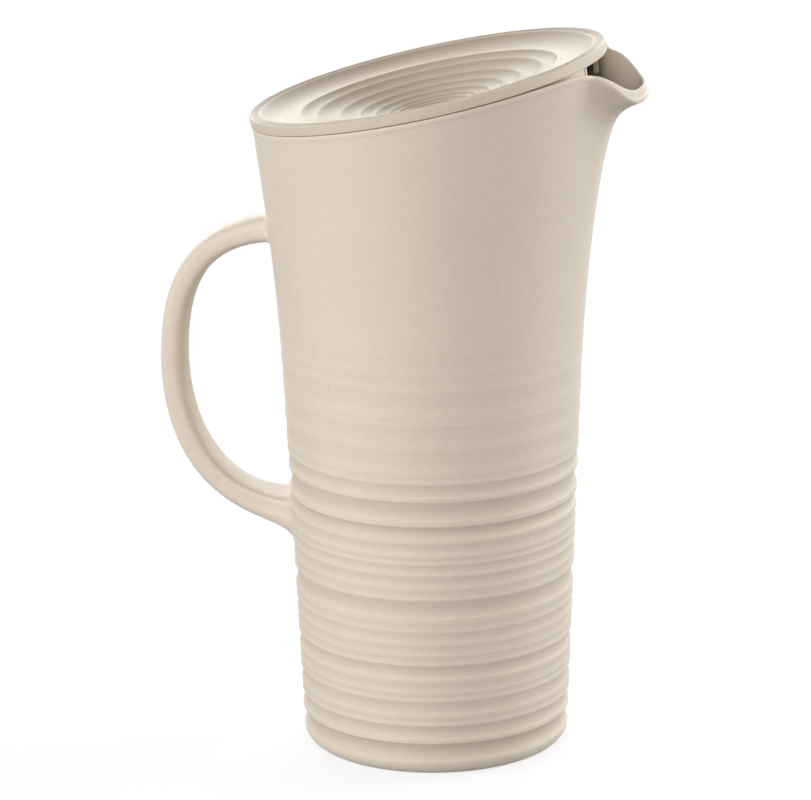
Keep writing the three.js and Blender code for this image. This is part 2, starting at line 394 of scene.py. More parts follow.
@dataclass
class Shell:
    """Points in millimetres, the faces between them, and how much painted shade each point takes.

    The painted shade value is the depth of the hollow in millimetres on the jug and the handle, and a
    tone from 0 to 1 on the lid. Each finish weighs it by its own share.
    """

    points: np.ndarray
    faces: list[tuple[int, ...]]
    painted_shade: np.ndarray | None = None

    def as_object(self, name: str, sharp_angle: float | None = None) -> bpy.types.Object:
        """Makes a Blender object in metres.

        Args:
            name: The piece's name.
            sharp_angle: The angle from which edges stay sharp, or None for a smooth piece.

        Returns:
            The linked object, at the origin.
        """
        mesh = bpy.data.meshes.new(name)
        mesh.from_pydata((self.points * MM).tolist(), [], self.faces)
        mesh.polygons.foreach_set("use_smooth", [True] * len(mesh.polygons))
        if sharp_angle is not None:
            mesh.set_sharp_from_angle(angle=sharp_angle)
        if self.painted_shade is not None:
            layer = mesh.attributes.new(PAINTED_SHADE_LAYER, "FLOAT", "POINT")
            layer.data.foreach_set("value", self.painted_shade.astype(np.float32))
        mesh.update()
        return linked(name, mesh)


def linked(name: str, data: bpy.types.ID) -> bpy.types.Object:
    """Makes an object of some data in the scene.

    Args:
        name: The object's name.
        data: Its mesh, light or camera.

    Returns:
        The linked object.
    """
    made = bpy.data.objects.new(name, data)
    bpy.context.scene.collection.objects.link(made)
    return made


def skinned(
    rings: np.ndarray, start: np.ndarray, end: np.ndarray, painted_shade: np.ndarray | None = None
) -> Shell:
    """Skins a stack of equal rings into one closed body, with a fan to a point at each end.

    Args:
        rings: Points by ring, column and axis.
        start: The point that closes the first ring.
        end: The point that closes the last ring.
        painted_shade: Painted shade values by ring and column.

    Returns:
        The closed body.
    """
    count, columns, _ = rings.shape
    points = np.vstack([rings.reshape(-1, 3), start, end])
    at = np.arange(count * columns).reshape(count, columns)
    after = np.roll(at, -1, axis=1)
    quads = np.stack([at[:-1], after[:-1], after[1:], at[1:]], axis=-1).reshape(-1, 4)
    first, last = count * columns, count * columns + 1
    faces = [tuple(quad) for quad in quads.tolist()]
    faces += [(first, b, a) for a, b in zip(at[0].tolist(), after[0].tolist())]
    faces += [(last, a, b) for a, b in zip(at[-1].tolist(), after[-1].tolist())]
    depths = None if painted_shade is None else np.append(painted_shade.ravel(), [0.0, 0.0])
    return Shell(points, faces, depths)


def turned(profile: np.ndarray, columns: int) -> Shell:
    """Turns a closed profile round the Z axis.

    Args:
        profile: Radius and height of each point, anticlockwise with the radius to the right.
        columns: The number of steps round the axis.

    Returns:
        The ring, closed along and round the profile.
    """
    rings = polar(profile[:, :1], even_turns(columns), profile[:, 1:])
    at = np.arange(rings[..., 0].size).reshape(len(profile), columns)
    side, up = np.roll(at, -1, axis=1), np.roll(at, -1, axis=0)
    quads = np.stack([at, side, np.roll(up, -1, axis=1), up], axis=-1).reshape(-1, 4)
    return Shell(rings.reshape(-1, 3), [tuple(quad) for quad in quads.tolist()])


def lerp(low: Any, high: Any, share: Any) -> Any:
    """The value a share of the way from low to high."""
    return low + (high - low) * share


def polar(radius: Any, azimuth: Any, height: Any) -> np.ndarray:
    """Points from their radius, azimuth and height."""
    radius, azimuth, height = np.broadcast_arrays(radius, azimuth, height)
    return np.stack([radius * np.cos(azimuth), radius * np.sin(azimuth), height], axis=-1)


def unit(vectors: np.ndarray) -> np.ndarray:
    """The vectors, each scaled to a length of 1."""
    return vectors / np.linalg.norm(vectors, axis=-1, keepdims=True)


def even_turns(count: int) -> np.ndarray:
    """Angles of even steps round a circle."""
    return np.arange(count) * FULL_TURN / count


def cove(share: Any) -> Any:
    """Depth of a parabolic hollow: 0 at its two ends and 1 in its middle."""
    return 4 * share * (1 - share)


def eased(share: Any) -> Any:
    """A share from 0 to 1 with a soft start and end."""
    return share * share * (3 - 2 * share)


def arc(
    centre: tuple[float, float], radius: float, start: float, steps: int, sweep: float = QUARTER_TURN
) -> list[tuple[float, float]]:
    """An arc of a section.

    Args:
        centre: Its centre, as radius and height.
        radius: Its own radius.
        start: The angle at which it starts; it turns anticlockwise.
        steps: The number of its pieces.
        sweep: The angle that it covers.

    Returns:
        Its points.
    """
    turns = np.linspace(start, start + sweep, steps + 1)
    return [(centre[0] + radius * math.cos(turn), centre[1] + radius * math.sin(turn)) for turn in turns]


# Sub-assemblies


@dataclass(frozen=True)
class LidSeat:
    """Where the lid sits: the centre of its rim's top plane, and the slope of that plane."""

    centre: tuple[float, float, float]
    tilt: float
    radius: float = 72.3
    rim_height: float = 4.1
    seal_recess: float = 1.1
    clearance: float = 0.3
    seal_thickness: float = 0.8

    @classmethod
    def from_joint(cls, joints: Sequence[dict[str, Any]], name: str = "lid_turn") -> LidSeat:
        """Reads the seat from the joint that the lid turns on.

        Args:
            joints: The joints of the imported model.
            name: The joint's name.

        Returns:
            The seat in millimetres.
        """
        joint = next(entry for entry in joints if entry["name"] == name)
        at, axis = joint["pos_m"], joint["axis"]
        return cls((at[0] / MM, at[1] / MM, at[2] / MM), math.atan2(-axis[0], axis[2]))

    @property
    def recess_drop(self) -> float:
        """How far the roof of the seal's recess lies under the lid's top plane."""
        return self.rim_height - self.seal_recess

    @property
    def skirt_drop(self) -> float:
        """How far the top of the skirt and of the seal lies under the lid's top plane."""
        return self.recess_drop + self.clearance

    @property
    def rim_drop(self) -> float:
        """How far the jug's rim lies under the lid's top plane."""
        return self.skirt_drop + self.seal_thickness + self.clearance

    def placed(self, shell: Shell) -> Shell:
        """Takes a shell from the lid's own frame to the frame of the whole carafe.

        Args:
            shell: The shell, with its height measured from the lid's top plane.

        Returns:
            The same shell in its place.
        """
        sine, cosine = math.sin(self.tilt), math.cos(self.tilt)
        turn = np.array([[cosine, 0.0, -sine], [0.0, 1.0, 0.0], [sine, 0.0, cosine]])
        return Shell(shell.points @ turn.T + np.array(self.centre), shell.faces, shell.painted_shade)


@dataclass(frozen=True)
class WallForm:
    """The jug's wall as formulas: a narrow cone, a flare, ribs, a sloping rim and a pouring lip."""

    seat: LidSeat
    foot_radius: float = 53.7
    cone_angle: float = math.radians(2.35)
    flare_length: float = 85.5
    flare_blend: float = 16.0
    lid_setback: float = 0.44
    wall_thickness: float = 2.6
    foot_rounding: float = 6.9
    foot_band: float = 14.4
    ribbed_height: float = 109.2
    rib_shares: tuple[float, ...] = (
        7.5, 3, 7.4, 3, 4.8, 7.4, 3.7, 4.6, 5.8, 3.7, 9.8, 4.2, 5.8, 5, 2.8, 6, 7.2, 10.3, 7.2,
    )
    faint_height: float = 53.2
    faint_shares: tuple[float, ...] = (3.4, 10.5, 10.3, 2.7, 11, 6.7, 8.6)
    # Depth of each hollow as a share of its band: the foot, the ribs and the faint rings.
    foot_depth: float = 0.213
    rib_depths: tuple[float, ...] = (
        0.11, 0.05, 0.085, 0.055, 0.05, 0.11, 0.045, 0.045, 0.065, 0.045, 0.1, 0.045, 0.07, 0.07,
        0.06, 0.065, 0.16, 0.11, 0.085,
    )
    faint_depths: tuple[float, ...] = (0.03, 0.022, 0.02, 0.02, 0.018, 0.015, 0.012)
    hollow_share: float = 0.8
    lip_reach: float = 87.5
    lip_drop: float = 16.2
    lip_half_angle: float = math.radians(21)
    lip_root: float = 0.045
    lip_curl: float = 3.6
    lip_bead: float = 1.8
    dip_half_angle: float = math.radians(17.2)
    dip_power: float = 5.4
    throat_half_angle: float = math.radians(18)
    throat_power: float = 4.0
    throat_depth: float = 16.0
    throat_share: float = 0.42
    rim_passes: int = 4
    probe_share: float = 0.01

    @property
    def plain_start(self) -> float:
        """Height at which the wall over the ribs and faint rings starts."""
        return self.foot_band + self.ribbed_height + self.faint_height

    @cached_property
    def flare_slope(self) -> float:
        """How much the flare adds to the radius for each millimetre of its reach.

        Returns:
            The slope that brings the wall to the lid's radius, and a little past it, at the lid's height.
        """
        height = self.seat.centre[2]
        mouth = self.seat.radius + self.lid_setback
        return (mouth - self.cone_radius(height)) / self.flare_reach(height)

    @cached_property
    def lip_bulge(self) -> float:
        """How far the lip's tip stands out from the wall."""
        return self.lip_reach - float(self.radius(self.rim_height(np.zeros(1)))[0])

    def cone_radius(self, height: Any) -> Any:
        """Radius of the narrow cone at a height."""
        return self.foot_radius + height * math.tan(self.cone_angle)

    def flare_reach(self, height: Any) -> Any:
        """How far a height lies into the flare, with a soft start."""
        start = self.seat.centre[2] - self.flare_length
        return self.flare_blend * np.log1p(np.exp((height - start) / self.flare_blend))

    def radius(self, height: Any) -> Any:
        """Radius of the plain wall at a height, over the crests of the ribs."""
        return self.cone_radius(height) + self.flare_reach(height) * self.flare_slope

    def dip(self, azimuth: np.ndarray) -> np.ndarray:
        """How far the lip's edge has dipped, from 0 at the back to 1 at the tip."""
        return 1 / (1 + np.abs(azimuth / self.dip_half_angle) ** self.dip_power)

    def lip_outline(self, azimuth: np.ndarray) -> np.ndarray:
        """Outline of the lip seen from above: a half ellipse with a fillet at its root."""
        inside = 1 - (azimuth / self.lip_half_angle) ** 2
        return np.sqrt((inside + np.hypot(inside, self.lip_root)) / 2)

    def rim_height(self, azimuth: np.ndarray) -> np.ndarray:
        """Height of the wall's outer edge at an azimuth.

        Args:
            azimuth: Angles from the lip.

        Returns:
            The heights.
        """
        height = np.full_like(azimuth, self.seat.centre[2], dtype=float)
        for _ in range(self.rim_passes):
            along = self.radius(height) * np.cos(azimuth) - self.seat.centre[0]
            slope = along * math.tan(self.seat.tilt)
            height = self.seat.centre[2] + slope - self.seat.rim_drop / math.cos(self.seat.tilt)
        return height - self.lip_drop * self.dip(azimuth)

    def outer_radius(self, azimuth: np.ndarray, height: np.ndarray) -> np.ndarray:
        """Radius of the outer face without its ribs, with the lip's curl and throat.

        Args:
            azimuth: Angles from the lip.
            height: Heights.

        Returns:
            The radii.
        """
        below = np.maximum(self.rim_height(azimuth) - height - self.lip_bead, 0)
        curl = (1 - self.throat_share) * self.lip_outline(azimuth) * np.exp(-below / self.lip_curl)
        aside = np.abs(azimuth / self.throat_half_angle) ** self.throat_power
        throat = self.throat_share * np.exp(-aside - below / self.throat_depth)
        return self.radius(height) + self.lip_bulge * (curl + throat)

    def outer_point(self, azimuth: np.ndarray, height: np.ndarray) -> np.ndarray:
        """Points of the outer face without its ribs."""
        return polar(self.outer_radius(azimuth, height), azimuth, height)

    def inner_point(self, azimuth: np.ndarray, height: np.ndarray) -> np.ndarray:
        """Points of the inner face, a wall's thickness behind the outer one.

        Args:
            azimuth: Angles from the lip.
            height: Heights of the outer points.

        Returns:
            The inner points.
        """
        step = self.wall_thickness * self.probe_share
        turn = step / self.foot_radius
        beside = self.outer_point(azimuth + turn, height) - self.outer_point(azimuth - turn, height)
        above = self.outer_point(azimuth, height + step) - self.outer_point(azimuth, height - step)
        return self.outer_point(azimuth, height) - self.wall_thickness * unit(np.cross(beside, above))

    def bands(self) -> list[tuple[float, float, float]]:
        """Lists the bands of the wall from the bottom up, each with its hollow under its upper crest.

        Returns:
            Height of the upper crest, height of the hollow and its depth, for each band.
        """
        foot = self.foot_band - self.foot_rounding
        found = [(self.foot_band, foot, foot * self.foot_depth)]
        bottom = self.foot_band
        stacks = (
            (self.ribbed_height, self.rib_shares, self.rib_depths),
            (self.faint_height, self.faint_shares, self.faint_depths),
        )
        for height, shares, depths in stacks:
            for share, depth in zip(shares, depths):
                band = height * share / sum(shares)
                bottom += band
                found.append((bottom, band * self.hollow_share, band * depth))
        return found

    def hollow(self, height: np.ndarray) -> np.ndarray:
        """Depth of the ribs' hollows at a height.

        Args:
            height: Heights on the wall.

        Returns:
            The depths, 0 on a crest and off the ribs.
        """
        depth = np.zeros_like(height, dtype=float)
        for crest, hollow, deepest in self.bands():
            down = np.clip((crest - height) / hollow, 0, 1)
            depth += deepest * cove(down)
        return depth


@dataclass(frozen=True)
class Jug:
    """The jug's shell: foot, ribbed wall, rolled rim, pouring lip, inner face and floor."""

    wall: WallForm
    finish: MattePlastic
    floor_thickness: float = 3.2
    floor_rounding: float = 6.0
    rim_start: float = 2.2
    inner_start: float = 2.4
    columns: int = 288
    crowding: float = 0.6
    round_steps: int = 8
    upper_rows: int = 48
    upper_first: float = 0.002
    upper_ease: float = 0.45
    inner_rows: int = 26
    inner_power: float = 0.55
    underside_stops: tuple[float, ...] = (0.3, 0.7)
    floor_stops: tuple[float, ...] = (0.6, 0.3)
    # Rows of a band: places in its hollow from the lower end up, and in the plain part over a crest.
    hollow_stops: tuple[float, ...] = (0.01, 0.06, 0.14, 0.25, 0.37, 0.5, 0.63, 0.75, 0.86, 0.94, 0.985, 1)
    plain_stops: tuple[float, ...] = (0.08, 0.5, 0.95)
    # Section of the rim as offsets outwards and up from the wall's outer edge, in millimetres:
    # away from the lip, and at the tip of the lip with its bead, crease and thin inner edge.
    plain_rim: tuple[tuple[float, float], ...] = (
        (0, -1.6), (0, -1.2), (0, -0.8), (0, -0.5), (-0.01, -0.26), (-0.08, -0.1), (-0.24, -0.02),
        (-0.6, 0), (-1.1, 0), (-1.5, 0), (-1.95, -0.05), (-2.3, -0.2), (-2.52, -0.5), (-2.6, -1),
    )
    lip_rim: tuple[tuple[float, float], ...] = (
        (-0.35, -1.75), (-0.08, -1.35), (0, -0.8), (-0.05, -0.25), (-0.3, 0.15), (-0.62, 0.38),
        (-0.68, 0.7), (-0.75, 1.4), (-0.85, 2.2), (-1, 2.9), (-1.2, 3.35), (-1.55, 3.6), (-2, 3.55),
        (-2.5, 3.2),
    )

    @cached_property
    def azimuths(self) -> np.ndarray:
        """Azimuths of the columns, closer together round the lip."""
        even = even_turns(self.columns) - HALF_TURN
        return even - self.crowding * np.sin(even)

    def level_ring(self, radius: float, height: float) -> np.ndarray:
        """A level ring of points."""
        return polar(radius, self.azimuths, height)

    def corner(self, edge: float, bottom: float, rounding: float) -> list[np.ndarray]:
        """Rings of a rounded corner between a flat and a wall.

        Args:
            edge: Radius of the wall.
            bottom: Height of the flat.
            rounding: Radius of the corner.

        Returns:
            The rings from the flat up to the wall.
        """
        centre = (edge - rounding, bottom + rounding)
        return [self.level_ring(*at) for at in arc(centre, rounding, -QUARTER_TURN, self.round_steps)]

    def rim_rings(self) -> list[np.ndarray]:
        """Rings over the rim, from the outer face to the inner one.

        Returns:
            One ring for each point of the rim's section.
        """
        height = self.wall.rim_height(self.azimuths)
        edge = self.wall.outer_point(self.azimuths, height)
        along = np.roll(edge, -1, axis=0) - np.roll(edge, 1, axis=0)
        outward = unit(np.stack([along[:, 1], -along[:, 0], np.zeros(self.columns)], axis=-1))
        dip = self.wall.dip(self.azimuths)
        rings = []
        for (plain_out, plain_up), (lip_out, lip_up) in zip(self.plain_rim, self.lip_rim):
            ring = edge + outward * lerp(plain_out, lip_out, dip)[:, None]
            slope = (ring[:, 0] - edge[:, 0]) * math.tan(self.wall.seat.tilt)
            ring[:, 2] += lerp(plain_up + slope, lip_up, dip)
            rings.append(ring)
        return rings

    def shell(self) -> Shell:
        """Builds the jug from the middle of the underside, over the rim, to the middle of the floor.

        Returns:
            The closed shell.
        """
        wall = self.wall
        foot_edge = float(wall.radius(wall.foot_rounding))
        flat_edge = foot_edge - wall.foot_rounding
        rings = [self.level_ring(flat_edge * stop, 0.0) for stop in self.underside_stops]
        rings += self.corner(foot_edge, 0.0, wall.foot_rounding)
        depths = [0.0] * len(rings)
        last = wall.foot_rounding
        for crest, hollow, deepest in wall.bands():
            start = crest - hollow
            rows = [(lerp(last, start, stop), 0.0) for stop in self.plain_stops if start > last]
            rows += [(start + hollow * stop, deepest * cove(stop)) for stop in self.hollow_stops]
            for height, depth in rows:
                rings.append(self.level_ring(float(wall.radius(height)) - depth, height))
                depths.append(depth)
            last = crest

        rim = wall.rim_height(self.azimuths)
        for even in np.linspace(self.upper_first, 1, self.upper_rows):
            share = even * (1 + self.upper_ease * (1 - even))
            height = lerp(wall.plain_start, rim - self.rim_start, share)
            rings.append(wall.outer_point(self.azimuths, height))
        rings += self.rim_rings()
        for share in np.linspace(1, 0, self.inner_rows) ** self.inner_power:
            height = lerp(wall.plain_start, rim - self.inner_start, share)
            rings.append(wall.inner_point(self.azimuths, height))

        floor_edge = float(wall.radius(self.floor_thickness + self.floor_rounding)) - wall.wall_thickness
        rings += reversed(self.corner(floor_edge, self.floor_thickness, self.floor_rounding))
        rings += [self.level_ring(floor_edge * stop, self.floor_thickness) for stop in self.floor_stops]

        # Painted shade: the foot's hollow, the ribs and the faint rings are darkened by their depth.
        painted_shade = np.zeros((len(rings), self.columns))
        painted_shade[: len(depths)] = np.array(depths)[:, None]
        centre = np.array([[0.0, 0.0, 0.0], [0.0, 0.0, self.floor_thickness]])
        return skinned(np.array(rings), centre[0], centre[1], painted_shade)

    def build(self) -> bpy.types.Object:
        """Makes the piece and puts it in the place of the plain body."""
        return dressed(self.shell().as_object("jug_shell"), self.finish, Body.CARAFE, "carafe_body")


@dataclass(frozen=True)
class LoopHandle:
    """The looped handle: an oval upper arm, a squarer lower arm and roots that flow into the wall."""

    wall: WallForm
    finish: MattePlastic
    grip_reach: float = 105.9
    grip_height: float = 156.3
    upper_root_drop: float = 62.5
    lower_root_height: float = 94.5
    upper_root_pull: float = 41.0
    lower_root_pull: float = 41.5
    grip_pull_up: float = 33.4
    grip_pull_down: float = 29.9
    thickness: float = 9.8
    width: float = 19.0
    upper_root_thickness: float = 11.4
    lower_root_thickness: float = 19.0
    lower_root_width: float = 27.0
    root_blend: float = 8.0
    upper_power: float = 3.1
    outer_power: float = 2.6
    inner_power: float = 6.0
    upper_fillet: float = 2.2
    lower_fillet: float = 3.0
    root_sink: float = 2.0
    rib_fade: float = 26.0
    rib_turn: float = 7.0
    section_points: int = 72
    arm_rows: int = 150
    curve_samples: int = 1500
    fillet_stops: tuple[float, ...] = (0, 0.02, 0.07, 0.15, 0.27, 0.42, 0.6, 0.8)

    @cached_property
    def line(self) -> tuple[np.ndarray, np.ndarray, float]:
        """The centre line, from the wall at the top, out to the grip and back to the wall.

        Returns:
            Even samples, their directions, and the share of the line at which the lower arm starts.
        """
        upper_root = np.array([-self.wall.foot_radius, 0, self.wall.seat.centre[2] - self.upper_root_drop])
        grip = np.array([-self.grip_reach, 0, self.grip_height])
        lower_root = np.array([-self.wall.foot_radius + self.wall.wall_thickness, 0, self.lower_root_height])
        arms = (
            (upper_root, upper_root - [self.upper_root_pull, 0, 0], grip + [0, 0, self.grip_pull_up], grip),
            (grip, grip - [0, 0, self.grip_pull_down], lower_root - [self.lower_root_pull, 0, 0], lower_root),
        )
        share = np.linspace(0, 1, self.curve_samples)[:, None]
        weights = ((1 - share) ** 3, 3 * share * (1 - share) ** 2, 3 * share**2 * (1 - share), share**3)
        upper, lower = [sum(w * p for w, p in zip(weights, arm)) for arm in arms]
        path = np.vstack([upper, lower[1:]])
        lengths = np.append(0, np.cumsum(np.linalg.norm(np.diff(path, axis=0), axis=1)))
        even = np.linspace(0, lengths[-1], self.curve_samples)
        samples = np.stack([np.interp(even, lengths, path[:, axis]) for axis in range(3)], axis=-1)
        return samples, unit(np.gradient(samples, axis=0)), float(lengths[len(upper) - 1] / lengths[-1])

    def from_wall(self, points: np.ndarray) -> np.ndarray:
        """Distance of points from the plain wall, across the jug's axis."""
        return np.hypot(points[..., 0], points[..., 1]) - self.wall.radius(points[..., 2])

    def sections(self) -> tuple[np.ndarray, np.ndarray]:
        """Sweeps the section along the whole centre line.

        Returns:
            Surface points by sample and section angle, and the outward direction of each in its section.
        """
        centre, tangent, meeting = self.line
        blend = np.exp(-np.maximum(self.from_wall(centre), 0) / self.root_blend)
        place = np.linspace(0, 1, len(centre))
        lower = place > meeting
        sharpness = np.sin(np.clip((place - meeting) / (1 - meeting), 0, 1) * QUARTER_TURN)
        root_thickness = np.where(lower, self.lower_root_thickness, self.upper_root_thickness)
        thick = lerp(self.thickness, root_thickness, blend)
        wide = lerp(self.width, np.where(lower, self.lower_root_width, self.width), blend)

        angle = even_turns(self.section_points)
        outer_half = np.cos(angle) > 0
        end_power = np.where(outer_half, self.outer_power, self.inner_power)
        power = lerp(self.upper_power, end_power, sharpness[:, None])
        half_thick, half_wide = thick[:, None] / 2, wide[:, None] / 2
        reach_out = np.abs(np.cos(angle)) ** power / half_thick**power
        reach_side = np.abs(np.sin(angle)) ** power / half_wide**power
        reach = (reach_out + reach_side) ** (-1 / power)
        across = np.array([0.0, 1.0, 0.0])
        outward = unit(np.cross(across, tangent))[:, None, :]
        out = (reach * np.cos(angle))[..., None]
        side = (reach * np.sin(angle))[..., None]
        surface = centre[:, None, :] + outward * out + across * side
        half_thick, half_wide, steepness = half_thick[..., None], half_wide[..., None], (power - 1)[..., None]
        steep_out = np.sign(out) * (np.abs(out) / half_thick) ** steepness
        steep_side = np.sign(side) * (np.abs(side) / half_wide) ** steepness
        return surface, unit(outward * steep_out / half_thick + across * steep_side / half_wide)

    def place_at(self, distance: np.ndarray, level: float, rising: bool) -> float:
        """Finds where one generator of the handle crosses a distance from the wall.

        Args:
            distance: Distance from the wall along the generator.
            level: The wanted distance.
            rising: True near the upper root, False near the lower one.

        Returns:
            The place as a fractional sample number.
        """
        outside = np.nonzero(distance > level)[0]
        index = int(outside[0]) - 1 if rising else int(outside[-1])
        low, high = distance[index], distance[index + 1]
        return index + (level - low) / (high - low)

    def shell(self) -> Shell:
        """Builds the handle: a sunk end, a fillet, the two arms, a fillet and a sunk end.

        Returns:
            The closed body, with the ribs of the wall running out along the lower arm.
        """
        surface, facing = self.sections()
        distance = self.from_wall(surface)
        columns = self.section_points
        upper_levels = [-self.root_sink] + [self.upper_fillet * stop for stop in self.fillet_stops]
        lower_levels = [self.lower_fillet * stop for stop in reversed(self.fillet_stops)] + [-self.root_sink]
        top = self.levels_at(distance, upper_levels + [self.upper_fillet], True)
        bottom = self.levels_at(distance, [self.lower_fillet] + lower_levels, False)
        middle = lerp(top[-1], bottom[0], np.linspace(0, 1, self.arm_rows)[1:-1, None])
        places = np.vstack([top, middle, bottom])

        samples = np.arange(len(surface))
        points = np.empty((len(places), columns, 3))
        outward = np.empty_like(points)
        for column in range(columns):
            for axis in range(3):
                points[:, column, axis] = np.interp(places[:, column], samples, surface[:, column, axis])
                outward[:, column, axis] = np.interp(places[:, column], samples, facing[:, column, axis])
        outward = unit(outward)

        gap = self.from_wall(points)
        upper_half = np.arange(len(places))[:, None] < len(places) / 2
        fillet = np.where(upper_half, self.upper_fillet, self.lower_fillet)
        share = np.clip(1 - gap / fillet, 0, 1)
        points += outward * (fillet * (1 - np.sqrt(1 - share**2)))[..., None]
        near = gap < fillet
        wanted = self.wall.radius(points[..., 2]) + gap
        scale = np.where(near, wanted / np.hypot(points[..., 0], points[..., 1]), 1.0)
        points[..., :2] *= scale[..., None]

        depth = self.rib_depths(points, gap, upper_half)
        outwards = unit(points * [1.0, 1.0, 0.0])
        facing = unit(lerp(surface_normals(points), outwards, share[..., None]))
        points -= facing * depth[..., None]
        ends = [self.root_end(points[0]), self.root_end(points[-1])]
        # The depths of the ribs on the handle also set its painted shade.
        return skinned(points[:, ::-1], ends[0], ends[1], depth[:, ::-1])

    def levels_at(self, distance: np.ndarray, levels: Sequence[float], rising: bool) -> np.ndarray:
        """Places of each wanted distance on each generator."""
        return np.array([[self.place_at(line, level, rising) for line in distance.T] for level in levels])

    def root_end(self, ring: np.ndarray) -> np.ndarray:
        """The point that closes a sunk end, inside the wall."""
        height = float(ring[:, 2].mean())
        return np.array([-(float(self.wall.radius(height)) - self.root_sink), 0.0, height])

    def rib_depths(self, points: np.ndarray, gap: np.ndarray, upper_half: np.ndarray) -> np.ndarray:
        """Depth of the wall's ribs where they run onto the handle.

        Args:
            points: Surface points.
            gap: Distance of each from the wall.
            upper_half: True on the upper arm.

        Returns:
            The depths.
        """
        samples = self.line[0]
        root = samples[np.nonzero(self.from_wall(samples) > 0)[0][-1], 2]
        inner = np.sqrt(((samples[None, :, ::2] - points.reshape(-1, 3)[:, None, ::2]) ** 2).sum(-1))
        nearest = samples[inner.argmin(axis=1)].reshape(points.shape)
        offset = np.copysign(inner.min(axis=1).reshape(gap.shape), points[..., 2] - nearest[..., 2])
        turn = eased(np.clip(gap / self.rib_turn, 0, 1))
        height = lerp(points[..., 2], root + offset, np.where(upper_half, 0.0, turn))
        fade = np.exp(-((np.maximum(gap, 0) / self.rib_fade) ** 2))
        return self.wall.hollow(height) * fade

    def build(self) -> bpy.types.Object:
        """Makes the piece and puts it in the place of the plain handle."""
        return dressed(self.shell().as_object("loop_handle"), self.finish, Body.CARAFE, "handle")


def surface_normals(points: np.ndarray) -> np.ndarray:
    """Normals of a grid of points that closes round its columns, facing away from the inside.

    Args:
        points: Points by row, column and axis.

    Returns:
        Unit normals.
    """
    along = np.gradient(points, axis=0)
    around = np.roll(points, -1, axis=1) - np.roll(points, 1, axis=1)
    normals = np.cross(along, around)
    middle = points.mean(axis=1, keepdims=True)
    facing = np.sign((normals * (points - middle)).sum(axis=(1, 2), keepdims=True))
    return unit(normals) * facing


@dataclass(frozen=True)
class LidCover:
    """The lid's cover: a rim with a shallow hollow in its top, round a dish that steps down in rings."""

    seat: LidSeat
    finish: MattePlastic
    recess_radius: float
    rim_width: float = 4.6
    rim_hollow: float = 1.0
    edge_rounding: float = 0.6
    lower_rounding: float = 0.3
    edge_crest: float = 0.25
    dish_angle: float = math.radians(13.2)
    dish_thickness: float = 2.6
    ring_shares: tuple[float, ...] = (15.5, 6.5, 9, 7.5, 6, 5, 3, 3, 3, 3)
    centre_radius: float = 6.0
    centre_stops: tuple[float, ...] = (1, 0.6, 0)
    depth_shares: tuple[float, ...] = (0.12, 0.22, 0.22, 0.22, 0.22, 0.22, 0.22, 0.22, 0.22, 0.22)
    step_rows: tuple[float, ...] = (0, 0.015, 0.06, 0.14, 0.26, 0.4, 0.55, 0.7, 0.83, 0.93, 0.985)
    # Painted shade of each row of a band, from 0 to 1, darkest just inside its outer crest, and of the rim's
    # top between its crests.
    band_painted_shade: tuple[float, ...] = (0.05, 0.6, 1, 0.9, 0.68, 0.4, 0.17, 0.04, 0, 0, 0)
    rim_painted_shade: tuple[float, ...] = (0.74, 0.84, 0.84, 0.82, 0.8, 0.76, 0.7, 0.62, 0.5, 0.36, 0.2)
    # Painted shade of the underside, the recess and the edge face.
    edge_painted_shade: float = 0.4
    round_steps: int = 5
    columns: int = 256
    shy: float = 0.02

    def dish_height(self, radius: float) -> float:
        """Height of the dish's cone at a radius."""
        return (radius - (self.seat.radius - self.rim_width)) * math.tan(self.dish_angle)

    def profile(self) -> np.ndarray:
        """Section of the cover, anticlockwise: underside, recess, edge, rim, dish.

        Returns:
            Radius, height and painted shade of each point.
        """
        dish = self.seat.radius - self.rim_width
        edge = self.seat.radius - self.shy
        band_scale = (dish - self.centre_radius) / sum(self.ring_shares)
        bottom = self.dish_height(self.centre_radius) - self.dish_thickness
        roof, foot = -self.seat.recess_drop, -self.seat.rim_height
        flat = dish - (self.seat.recess_drop - self.dish_thickness) / math.tan(self.dish_angle)
        lower, upper, recess = self.lower_rounding, self.edge_rounding, self.recess_radius
        points = [(0.0, bottom), (self.centre_radius, bottom), (flat, roof), (recess - self.shy, roof)]
        points += [(recess, roof - self.shy), (recess, foot + self.shy), (recess + self.shy, foot)]
        points += arc((edge - lower, foot + lower), lower, -QUARTER_TURN, self.round_steps)
        points += arc((edge - upper, -upper - self.shy), upper, 0.0, self.round_steps)
        painted_shades = [self.edge_painted_shade] * len(points) + list(self.rim_painted_shade)
        crest = edge - upper - self.edge_crest
        for step in self.step_rows:
            points.append((lerp(crest, dish, step), -cove(step) * self.rim_hollow - self.shy))
        outer = dish
        for share, depth_share in zip(self.ring_shares, self.depth_shares):
            band = share * band_scale
            for step in self.step_rows:
                radius = outer - band * step
                depth = cove(step) * depth_share * band
                points.append((radius, self.dish_height(radius) - depth - self.shy))
            painted_shades += self.band_painted_shade
            outer -= band
        centre = self.dish_height(self.centre_radius)
        points += [(self.centre_radius * stop, centre) for stop in self.centre_stops]
        painted_shades += [0.0] * (len(points) - len(painted_shades))
        return np.column_stack([points, painted_shades])

    def build(self) -> bpy.types.Object:
        """Makes the piece and puts it in the place of the plain cover.

        Returns:
            The piece.
        """
        profile = self.profile()
        body = profile[1:-1]
        rings = polar(body[:, :1], even_turns(self.columns), body[:, 1:2])
        painted_shades = np.broadcast_to(body[:, 2:], rings.shape[:2])
        ends = [np.array([0, 0, profile[row, 1]]) for row in (0, -1)]
        made = self.seat.placed(skinned(rings, *ends, painted_shades)).as_object("lid_dish")
        return dressed(made, self.finish, Body.LID, "lid_cover")


